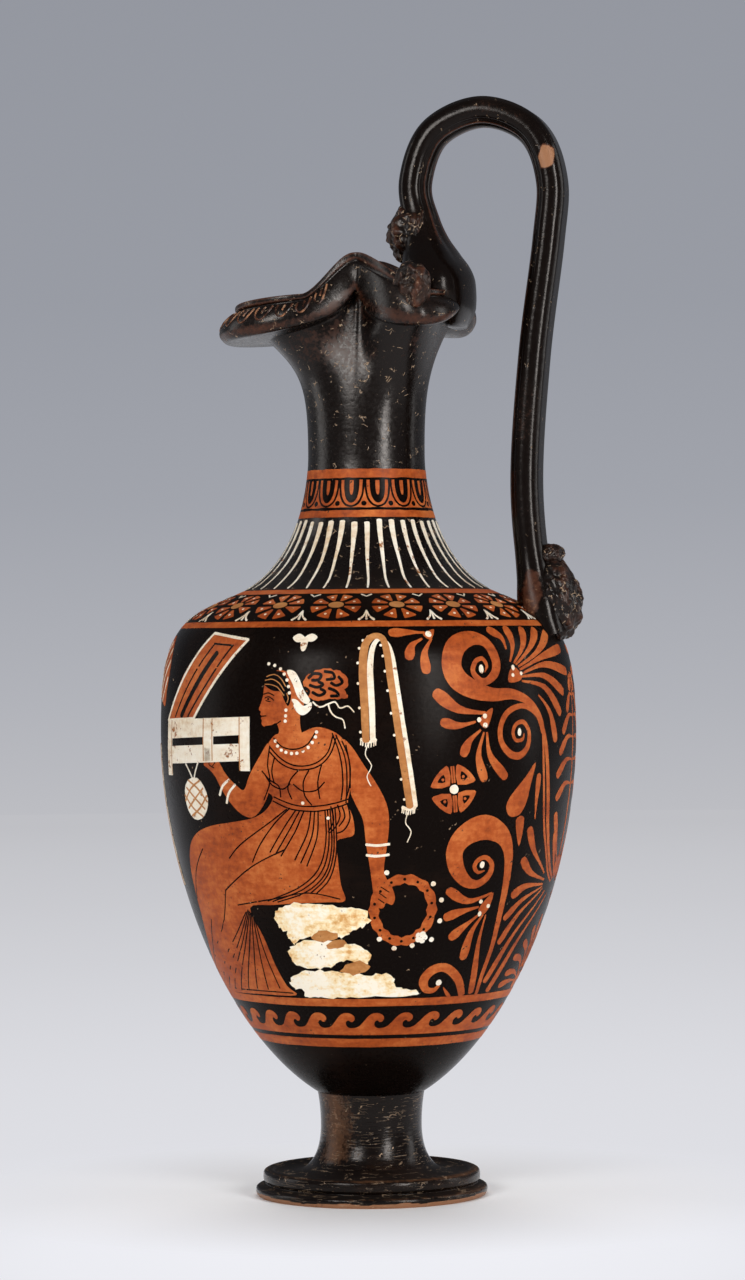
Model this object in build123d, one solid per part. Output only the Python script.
"""Oinochoe: a wheel-thrown wine jug with a pedestal foot, trefoil mouth and high ribbed handle.

The jug is made as a potter makes it. Foot, body and neck are thrown separately, the lip is a collar
pinched to a trefoil, the handle is pulled and ribbed, and four mould-made ornaments are luted on.
Millimetres, +Z up, the axis of the wheel on Z, the resting ring at Z = 0, handle on +X, spout on -X.
"""

import os
from math import cos, pi, radians, sin

from build123d import *

# Foot: a hollow pedestal with a stepped disc
foot_ring_radius = 44.2
foot_ring_height = 4.8
foot_step_radius = 41.4
foot_step_height = 5.4
foot_rim_width = 3.6
foot_dish_depth = 1.9
foot_groove = 1.2
foot_edge_round = 1.6
foot_rest_width = 8.5
foot_cavity_height = 25.0
foot_cavity_top_radius = 8.0
stem_radius = 19.3
stem_waist_height = 27.0
stem_top_radius = 20.4
foot_height = 39.5
key_radius = 11.0
key_height = 2.4
key_clearance = 0.15

# Body: an ovoid with a round shoulder
body_radius = 79.6
body_belly_height = 138.0
body_base_angle = 32.0
body_base_pull = 39.0
body_belly_pull = 57.0
body_shoulder_pull = 39.4
body_wall = 5.0
body_floor = 7.5
shoulder_height = 52.0
shoulder_radius = 50.0
shoulder_slope = 22.0
shoulder_pull = 23.0

# Neck: a concave throat that flares to the mouth
neck_radius = 22.3
neck_throat_rise = 53.4
neck_base_pull = 22.0
neck_throat_pull = 19.0
neck_wall = 4.3
neck_flare_rise = 46.6
neck_flare_radius = 34.5
neck_flare_pull = 26.0
neck_flare_angle = 56.0
neck_mouth_pull = 18.0

# Lip: an overhanging collar with a groove under its top edge
lip_height = 13.6
lip_overhang = 11.5
lip_lean = 2.8
lip_bulge = 1.6
lip_flange = 2.2
lip_groove = 1.3
lip_groove_height = 1.2
lip_undercut = 0.6
lip_inner_share = 0.7

# Trefoil: how far the soft rim is drawn out, pinched in and lifted, by angle from the handle
spout_reach = 2.5
spout_overhang = 5.8
spout_half_angle = 70.0
spout_dip = 3.6
pinch_angle = 88.0
pinch_depth = 19.0
pinch_spout_angle = 72.0
pinch_lobe_angle = 40.0
pinch_lift = 15.4
pinch_fold_angle = 60.0
pinch_fold_power = 2.2
pinch_crest_angle = 33.0
pinch_overhang_loss = 0.6
pinch_wall_gain = 0.6
back_draw = 1.5
back_lift = 8.5
back_overhang_loss = 0.5
back_half_angle = 50.0

# Handle: a ribbed strap that springs from the back of the mouth and lands on the shoulder
handle_breadth = 19.0
handle_thickness = 11.8
handle_arch_radius = 26.4
handle_arch_centre = 46.6
handle_rise = 44.3
handle_waist = 62.0
handle_waist_rise = 40.0
handle_root_breadth = 46.0
handle_root_thickness = 24.0
handle_root_reach = 29.0
handle_root_seat = 34.0
handle_root_sink = 1.5
handle_foot_breadth = 26.0
handle_foot_thickness = 16.5
handle_end_thickness = 12.0
handle_foot_inset = 13.6
handle_end_inset = 7.1
handle_foot_drop = 17.0
handle_rib_depth = 0.16

# Mould-made ornaments luted on round the handle
rotelle_radius = 8.6
rotelle_thickness = 9.0
rotelle_rim = 1.8
rotelle_dish = 1.2
rotelle_forward = 25.6
rotelle_spread = 34.6
rotelle_turn = 59.0
rotelle_lift = 0.9
head_height = 27.0
head_breadth = 22.0
head_relief = 13.0
head_reach = 21.0
head_lift = 23.0
mask_height = 33.0
mask_breadth = 22.0
mask_relief = 11.5
mask_inset = 8.1
mask_drop = 2.5
mask_tilt = 13.0

# Levels and places worked out from the sizes above
belly_z = foot_height + body_belly_height
shoulder_z = belly_z + shoulder_height
throat_z = shoulder_z + neck_throat_rise
seat_z = throat_z + neck_flare_rise
rim_z = seat_z + lip_height
arch_z = rim_z + handle_rise
handle_waist_z = shoulder_z + handle_waist_rise

# The half turn is lofted a little past the plane of symmetry and then cut there
loft_step_angle = 4.0
loft_overrun_angle = 16.0


def polar(length, degrees):
    """A step of this length in a profile's plane, as (outward, up)."""
    return length * cos(radians(degrees)), length * sin(radians(degrees))


def swell(distance, half_width):
    """A smooth bump: 1 at no distance, 0 from half_width on."""
    if abs(distance) >= half_width:
        return 0.0
    return (1 + cos(pi * distance / half_width)) / 2


def from_handle(degrees):
    """The same angle measured either way from the handle, 0 to 180."""
    return abs((degrees + 180) % 360 - 180)


def pinch_place(degrees):
    """Distance from the pinch as a share of its half width, 0 at its fold and 1 where it ends."""
    distance = from_handle(degrees) - pinch_angle
    return min(1.0, abs(distance) / (pinch_spout_angle if distance > 0 else pinch_lobe_angle))


def pinch(degrees):
    """How strongly the rim is pressed in at this angle from the handle, 0 to 1."""
    return swell(pinch_place(degrees), 1)


def fold_rise(degrees):
    """How strongly the lip's lower edge is lifted: a sharper fold than the pinch itself, 0 to 1."""
    distance = from_handle(degrees) - pinch_angle
    width = pinch_fold_angle if distance > 0 else pinch_lobe_angle
    return max(0.0, 1 - abs(distance) / width) ** pinch_fold_power


def crest_rise(degrees):
    """How strongly the rim is lifted into a rounded crest over the fold, 0 to 1."""
    distance = from_handle(degrees) - pinch_angle
    return swell(distance, pinch_crest_angle if distance > 0 else pinch_lobe_angle)


def spout(degrees):
    """How much of the spout's draw is felt at this angle, 0 to 1."""
    return swell(180 - from_handle(degrees), spout_half_angle)


def back(degrees):
    """How much the mouth is changed at its back, where the handle springs, 0 to 1."""
    return swell(from_handle(degrees), back_half_angle)


def rim_shift(degrees):
    """How far the neck's top edge moves (outward, up) when the round mouth is made a trefoil."""
    outward = spout_reach * spout(degrees) - pinch_depth * pinch(degrees) - back_draw * back(degrees)
    up = pinch_lift * fold_rise(degrees) - spout_dip * spout(degrees) + back_lift * back(degrees)
    return outward, up


def rim_top(degrees):
    """Height of the rim."""
    return rim_z + pinch_lift * crest_rise(degrees) - spout_dip * spout(degrees)


def overhang(degrees):
    """How far the lip stands out beyond the neck's top edge."""
    lost = pinch_overhang_loss * pinch(degrees) + back_overhang_loss * back(degrees)
    return lip_overhang * (1 - lost) + spout_overhang * spout(degrees)


def at_angle(degrees, points):
    """Profile points (radius, height) set in the half plane at this angle round the axis."""
    turn = radians(degrees)
    return [Vector(r * cos(turn), r * sin(turn), z) for r, z in points]


def trefoil_loft(section):
    """Lofts section(angle) from the handle round to the spout, and mirrors the half to the other side."""
    count = round((180 + 2 * loft_overrun_angle) / loft_step_angle)
    angles = [-loft_overrun_angle + i * (180 + 2 * loft_overrun_angle) / count for i in range(count + 1)]
    sweep_round = Solid.make_loft([section(angle) for angle in angles])
    reach = 4 * body_radius
    far_half = sweep_round & Box(reach, reach, 4 * rim_z, align=(Align.CENTER, Align.MIN, Align.CENTER))
    return (far_half + far_half.mirror(Plane.XZ)).solid()


def spun(*edges):
    """A solid of revolution round the axis from profile edges in the XZ plane."""
    return revolve(make_face(Wire(edges)), Axis.Z).solid()


def profile(*points):
    """Profile points (radius, height) in the XZ plane."""
    return [Vector(r, 0, z) for r, z in points]


def bezier(*points):
    return Edge.make_bezier(*points)


def chain(*points):
    """Straight edges from point to point."""
    return [Edge.make_line(a, b) for a, b in zip(points, points[1:])]


def make_foot():
    """Pedestal foot: stepped disc, dished on top, with a hollow stem and a key for the body."""
    step_low = foot_ring_height
    step_top = step_low + foot_step_height
    rim_inner = foot_step_radius - foot_rim_width
    stem_foot = (stem_radius + rim_inner) / 2
    rest_inner = foot_ring_radius - foot_rest_width
    disc = profile(
        (rest_inner, 0),
        (foot_ring_radius - foot_edge_round, 0),
        (foot_ring_radius, foot_edge_round),
        (foot_ring_radius, step_low - foot_groove),
        (foot_step_radius - foot_groove, step_low),
        (foot_step_radius, step_low + foot_groove),
        (foot_step_radius, step_top - foot_edge_round),
        (foot_step_radius - foot_edge_round, step_top),
        (rim_inner, step_top),
    )
    stem = profile(
        (rim_inner, step_top),
        (stem_foot, step_top - 2 * foot_dish_depth),
        (stem_radius, step_top),
        (stem_radius, stem_waist_height),
    )
    stem_top = profile(
        (stem_radius, stem_waist_height),
        (stem_radius, (stem_waist_height + foot_height) / 2),
        (stem_top_radius, foot_height),
    )
    top = profile(
        (stem_top_radius, foot_height),
        (key_radius, foot_height),
        (key_radius, foot_height + key_height),
        (0, foot_height + key_height),
        (0, foot_cavity_height),
        (foot_cavity_top_radius, foot_cavity_height),
    )
    cavity = profile(
        (foot_cavity_top_radius, foot_cavity_height),
        (foot_cavity_top_radius, step_top),
        (stem_radius, step_low),
        (rest_inner, 0),
    )
    return spun(*chain(*disc), bezier(*stem), bezier(*stem_top), *chain(*top), bezier(*cavity))


def body_outline(inset, floor_radius, floor_z):
    """Body profile from floor to shoulder, set in from the outside by inset along its normals."""
    low = Vector(floor_radius, 0, floor_z)
    belly = Vector(body_radius - inset, 0, belly_z)
    out, up = polar(body_base_pull, body_base_angle)
    slope_out, slope_up = polar(shoulder_pull, shoulder_slope)
    normal_out, normal_up = polar(inset, 90 - shoulder_slope)
    joint = Vector(shoulder_radius - normal_out, 0, shoulder_z - normal_up)
    lower = bezier(low, low + Vector(out, 0, up), belly - Vector(0, 0, body_belly_pull), belly)
    upper = bezier(
        belly,
        belly + Vector(0, 0, body_shoulder_pull - inset / 2),
        joint + Vector(slope_out - inset / 2, 0, -slope_up),
        joint,
    )
    return lower, upper


def make_body():
    """Hollow ovoid body with a recess under its floor for the foot's key."""
    lower, upper = body_outline(0, stem_top_radius, foot_height)
    floor_z = foot_height + body_floor
    inner_lower, inner_upper = body_outline(body_wall, stem_top_radius - body_wall, floor_z)
    recess_radius = key_radius + key_clearance
    recess_z = foot_height + key_height + key_clearance
    base = profile(
        (0, floor_z),
        (0, recess_z),
        (recess_radius, recess_z),
        (recess_radius, foot_height),
        (stem_top_radius, foot_height),
    )
    floor = Edge.make_line(base[0], inner_lower.position_at(0))
    joint = Edge.make_line(upper.position_at(1), inner_upper.position_at(1))
    return spun(*chain(*base), lower, upper, joint, inner_upper, inner_lower, floor)


def body_core():
    """The body with its hollow filled, for cutting what is luted on to it."""
    lower, upper = body_outline(0, stem_top_radius, foot_height)
    closing = profile(
        (shoulder_radius, shoulder_z),
        (0, shoulder_z),
        (0, foot_height),
        (stem_top_radius, foot_height),
    )
    return spun(lower, upper, *chain(*closing))


def seat(degrees):
    """Outer and inner edge of the neck's seat for the lip, as (radius, height).

    A radial cut is slanted on the flanks of a pinch, so the wall is cut thicker there.
    """
    outward, up = rim_shift(degrees)
    slant = sin(pi * pinch_place(degrees))
    wall = neck_wall * (1 + pinch_wall_gain * slant)
    outer = (neck_flare_radius + outward, seat_z + up)
    return outer, (outer[0] - wall, outer[1])


def neck_outer(degrees):
    """The neck's outer profile at this angle: base to throat, then throat to the seat."""
    outward, up = rim_shift(degrees)
    slope_out, slope_up = polar(neck_base_pull, shoulder_slope)
    flare_out, flare_up = polar(neck_mouth_pull, neck_flare_angle)
    ease = 0.5
    base = [
        (shoulder_radius, shoulder_z),
        (shoulder_radius - slope_out, shoulder_z + slope_up),
        (neck_radius, throat_z - neck_throat_pull),
        (neck_radius, throat_z),
    ]
    outer, _ = seat(degrees)
    flare = [
        (neck_radius, throat_z),
        (neck_radius, throat_z + neck_flare_pull),
        (neck_flare_radius - flare_out + ease * outward, seat_z - flare_up + ease * up),
        outer,
    ]
    return base, flare


def inset_points(points, wall):
    """Control points of the wall's inner face: the outer ones moved towards the axis."""
    return [(r - wall, z) for r, z in points]


def neck_section(degrees):
    """One radial cut through the neck wall."""
    base, flare = neck_outer(degrees)
    _, seat_inner = seat(degrees)
    normal_out, normal_up = polar(body_wall, 90 - shoulder_slope)
    joint_inner = (shoulder_radius - normal_out, shoulder_z - normal_up)
    inner_flare = inset_points(flare[:3], neck_wall) + [seat_inner]
    inner_base = [joint_inner] + inset_points(base[1:], neck_wall)
    outer_base, outer_flare = at_angle(degrees, base), at_angle(degrees, flare)
    back_flare, back_base = at_angle(degrees, inner_flare)[::-1], at_angle(degrees, inner_base)[::-1]
    return Wire(
        [
            bezier(*outer_base),
            bezier(*outer_flare),
            Edge.make_line(outer_flare[-1], back_flare[0]),
            bezier(*back_flare),
            bezier(*back_base),
            Edge.make_line(back_base[-1], outer_base[0]),
        ]
    )


def lip_section(degrees):
    """One radial cut through the lip: seat, undercut, ovolo face, groove, flange and inner slope."""
    (radius, low), inner = seat(degrees)
    reach = overhang(degrees)
    share = min(1.0, reach / lip_overhang)
    edge = radius + reach
    face_top = edge - lip_lean * share
    groove = face_top - lip_groove * share
    top_z = rim_top(degrees)
    height = top_z - low
    flange_z = top_z - lip_flange * height / lip_height
    groove_z = flange_z - lip_groove_height * height / lip_height
    face = [
        (edge, low - lip_undercut),
        (edge + lip_bulge * share, low + height / 4),
        (edge, low + height / 2),
        (face_top, groove_z),
    ]
    inner_flare = lip_inner_share * reach
    rim_inner = (inner[0] + inner_flare, top_z)
    slope = [
        rim_inner,
        (rim_inner[0] - inner_flare / 4, top_z - height / 3),
        (inner[0] + inner_flare / 4, low + height / 3),
        inner,
    ]
    flange = [face[-1], (groove, groove_z), (face_top, flange_z), (face_top, top_z), rim_inner]
    return Wire(
        [
            *chain(*at_angle(degrees, [inner, (radius, low), face[0]])),
            bezier(*at_angle(degrees, face)),
            *chain(*at_angle(degrees, flange)),
            bezier(*at_angle(degrees, slope)),
        ]
    )


def handle_path():
    """Centre line of the handle from the back of the mouth, over the arch, down to the shoulder."""
    left = handle_arch_centre - handle_arch_radius
    right = handle_arch_centre + handle_arch_radius
    side, rise = polar(handle_arch_radius, 45)
    climb = arch_z - rim_z
    fall = arch_z - handle_waist_z
    points = profile(
        (handle_root_seat, rim_z - handle_root_sink),
        (handle_root_reach, rim_z + climb * 0.06),
        (handle_root_reach * 0.75 + left * 0.25, rim_z + climb * 0.28),
        (handle_root_reach * 0.3 + left * 0.7, rim_z + climb * 0.63),
        (left, arch_z),
        (handle_arch_centre - side, arch_z + rise),
        (handle_arch_centre, arch_z + handle_arch_radius),
        (handle_arch_centre + side, arch_z + rise),
        (right, arch_z),
        (right * 0.85 + handle_waist * 0.15, arch_z - fall * 0.2),
        (right * 0.3 + handle_waist * 0.7, arch_z - fall * 0.58),
        (handle_waist, handle_waist_z),
        (body_radius - handle_foot_inset, shoulder_z),
        (body_radius - handle_end_inset, shoulder_z - handle_foot_drop),
    )
    return Edge.make_spline(points)


def handle_section(path, along, breadth, thickness, rib):
    """Cross-section at a share of the path: flat inside, rolled edges, three ribs on the outside."""
    plane = Plane(path.position_at(along), x_dir=(0, 1, 0), z_dir=path.tangent_at(along))

    def place(across, out):
        return plane.from_local_coords(Vector(across * breadth / 2, out * thickness / 2, 0))

    outline = [
        (0.62, -1),
        (0.88, -0.72),
        (1, -0.1),
        (0.86 - rib / 2, 0.6 - rib),
        (0.6, 0.84),
        (0.34, 0.95 - rib),
    ]
    right = [place(across, out) for across, out in outline]
    left = [place(-across, out) for across, out in outline]
    return Wire(
        [
            Edge.make_line(left[0], right[0]),
            Edge.make_line(right[0], right[1]),
            Edge.make_three_point_arc(right[1], right[2], right[3]),
            Edge.make_three_point_arc(right[3], right[4], right[5]),
            Edge.make_three_point_arc(right[5], place(0, 1), left[5]),
            Edge.make_three_point_arc(left[5], left[4], left[3]),
            Edge.make_three_point_arc(left[3], left[2], left[1]),
            Edge.make_line(left[1], left[0]),
        ]
    )


def make_handle_blank():
    """The whole pulled handle before its ends are fitted to the jug."""
    path = handle_path()

    def between(share):
        breadth = handle_breadth + share * (handle_root_breadth - handle_breadth)
        thickness = handle_thickness + share * (handle_root_thickness - handle_thickness)
        return breadth, thickness, handle_rib_depth * (1 - 0.9 * share)

    root = [
        (0.0, handle_root_breadth * 0.8, handle_root_thickness * 0.6, handle_rib_depth / 8),
        (0.025, *between(0.9)),
        (0.045, *between(1.0)),
        (0.07, *between(0.7)),
        (0.095, *between(0.34)),
        (0.12, *between(0.12)),
    ]
    strap = [(0.15 + 0.026 * i, *between(0)) for i in range(29)]
    end = [
        (0.92, handle_breadth * 1.1, handle_thickness * 1.1, handle_rib_depth),
        (0.96, handle_foot_breadth, handle_foot_thickness, handle_rib_depth / 2),
        (1.0, handle_foot_breadth, handle_end_thickness, handle_rib_depth / 4),
    ]
    return Solid.make_loft([handle_section(path, *station) for station in root + strap + end])


def make_rotelle():
    """Moulded disc with a raised rim round a shallow dish, at home on +Y, facing forward and out."""
    turn = radians(rotelle_turn)
    facing = Vector(-cos(turn), sin(turn), 0)
    centre = Vector(rotelle_forward, rotelle_spread, rim_z + rotelle_lift)
    plane = Plane(centre - facing * rotelle_thickness / 2, x_dir=(0, 0, 1), z_dir=facing)
    disc = Solid.make_cylinder(rotelle_radius, rotelle_thickness, plane)
    dish_plane = plane.offset(rotelle_thickness - rotelle_dish)
    dish = Solid.make_cylinder(rotelle_radius - rotelle_rim, rotelle_dish, dish_plane)
    boss = Solid.make_cylinder(rotelle_radius / 3, rotelle_dish, dish_plane)
    return disc - dish + boss


def moulded_face(height, breadth, relief):
    """Plain worn head in relief, looking along +Z with its crown to +Y: face, hair roll, nose ridge."""
    tall = height / 2
    wide = breadth / 2
    standing = (Align.CENTER, Align.CENTER, Align.MIN)
    face = Pos(0, -tall * 0.1, 0) * scale(Sphere(1), (wide * 0.8, tall * 0.9, relief * 1.12))
    worn_off = Pos(0, 0, relief * 0.94) * Box(breadth, height, relief, align=standing)
    hair = Pos(0, tall * 0.2, 0) * scale(Sphere(1), (wide, tall * 0.8, relief * 0.8))
    nose = Pos(0, -tall * 0.08, relief * 0.9) * scale(Sphere(1), (wide * 0.16, tall * 0.26, relief * 0.1))
    front = Box(2 * breadth, 2 * height, 2 * relief, align=standing)
    return (face - worn_off + hair + nose) & front


def biggest(shape):
    """The main solid of a cut shape, without crumbs."""
    return max(shape.solids(), key=lambda solid: solid.volume)


def main():
    os.makedirs("parts", exist_ok=True)
    foot = make_foot()
    body = make_body()
    neck = trefoil_loft(neck_section)
    lip = trefoil_loft(lip_section)
    jug = body_core()
    handle = biggest(make_handle_blank() - jug - lip)
    rotelle = biggest(make_rotelle() - handle - lip)
    head_plane = Plane((head_reach, 0, rim_z + head_lift), (0, -1, 0), (-1, 0, 0))
    head = biggest(head_plane * moulded_face(head_height, head_breadth, head_relief) - handle)
    mask_out, mask_up = polar(1, mask_tilt)
    mask_centre = (body_radius - mask_inset, 0, shoulder_z - mask_drop)
    mask_plane = Plane(mask_centre, (0, 1, 0), (mask_out, 0, mask_up))
    mask = biggest(mask_plane * moulded_face(mask_height, mask_breadth, mask_relief) - handle - jug)

    pieces = {
        "foot": foot,
        "body": body,
        "neck": neck,
        "trefoil_lip": lip,
        "handle": handle,
        "left_rotelle": rotelle.mirror(Plane.XZ),
        "right_rotelle": rotelle,
        "upper_handle_head": head,
        "lower_handle_mask": mask,
    }
    for name, solid in pieces.items():
        print(name, "valid" if solid.is_valid else "not valid", round(solid.volume), "mm3")
        export_step(solid, f"parts/{name}.step")


main()
